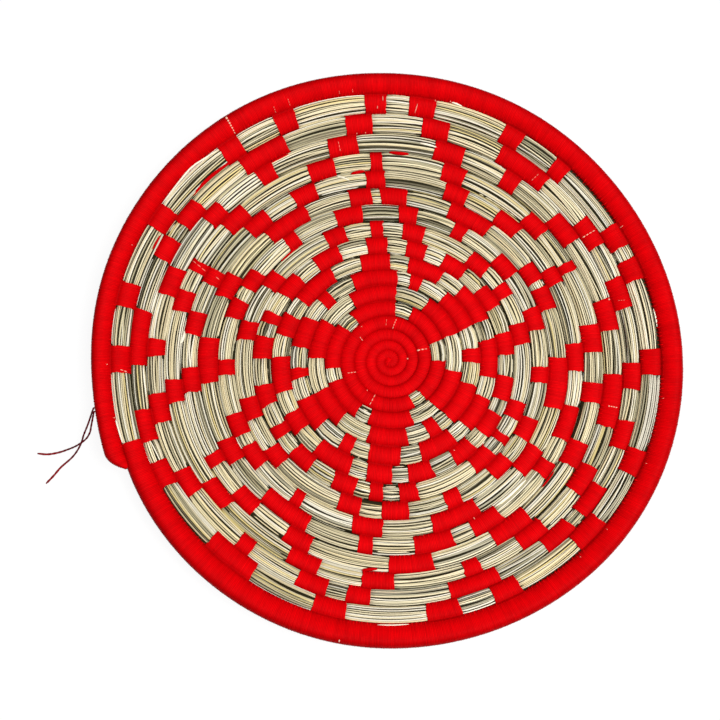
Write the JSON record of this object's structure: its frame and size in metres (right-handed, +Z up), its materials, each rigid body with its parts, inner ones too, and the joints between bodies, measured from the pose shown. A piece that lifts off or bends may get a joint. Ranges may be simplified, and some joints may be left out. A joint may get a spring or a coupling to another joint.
{
  "type": "coiled straw dish",
  "caption": "Shallow round dish coiled from one straw bundle and bound with red raffia in a star at the middle and all round the rim, with two loose raffia ends.",
  "frame": {"origin": "middle of the dish's footprint, on the surface it stands on", "axes": "+Z up out of the hollow, +X to the right and +Y away as the dish is seen from above, the coil's end at the -X side"},
  "size_m": [0.3242, 0.2912, 0.0275],
  "materials": {
    "straw": "bare dry grass stalks, slightly shiny",
    "red_raffia": "dyed raffia thread, satin"
  },
  "bodies": {
    "root": {"straw_coil": "straw", "centre_wrap": "red_raffia", "star_point_1_wrap_1": "red_raffia", "star_point_1_wrap_2": "red_raffia", "star_point_1_wrap_3": "red_raffia", "star_point_1_wrap_4": "red_raffia", "star_point_1_wrap_5": "red_raffia", "star_point_1_wrap_6": "red_raffia", "star_point_2_wrap_1": "red_raffia", "star_point_2_wrap_2": "red_raffia", "star_point_2_wrap_3": "red_raffia", "star_point_2_wrap_4": "red_raffia", "star_point_2_wrap_5": "red_raffia", "star_point_2_wrap_6": "red_raffia", "star_point_3_wrap_1": "red_raffia", "star_point_3_wrap_2": "red_raffia", "star_point_3_wrap_3": "red_raffia", "star_point_3_wrap_4": "red_raffia", "star_point_3_wrap_5": "red_raffia", "star_point_3_wrap_6": "red_raffia", "star_point_4_wrap_1": "red_raffia", "star_point_4_wrap_2": "red_raffia", "star_point_4_wrap_3": "red_raffia", "star_point_4_wrap_4": "red_raffia", "star_point_4_wrap_5": "red_raffia", "star_point_4_wrap_6": "red_raffia", "star_point_5_wrap_1": "red_raffia", "star_point_5_wrap_2": "red_raffia", "star_point_5_wrap_3": "red_raffia", "star_point_5_wrap_4": "red_raffia", "star_point_5_wrap_5": "red_raffia", "star_point_5_wrap_6": "red_raffia", "star_point_6_wrap_1": "red_raffia", "star_point_6_wrap_2": "red_raffia", "star_point_6_wrap_3": "red_raffia", "star_point_6_wrap_4": "red_raffia", "star_point_6_wrap_5": "red_raffia", "star_point_6_wrap_6": "red_raffia", "rim_wrap": "red_raffia", "tail_strand_a": "red_raffia", "tail_strand_b": "red_raffia"}
  },
  "joints": []
}
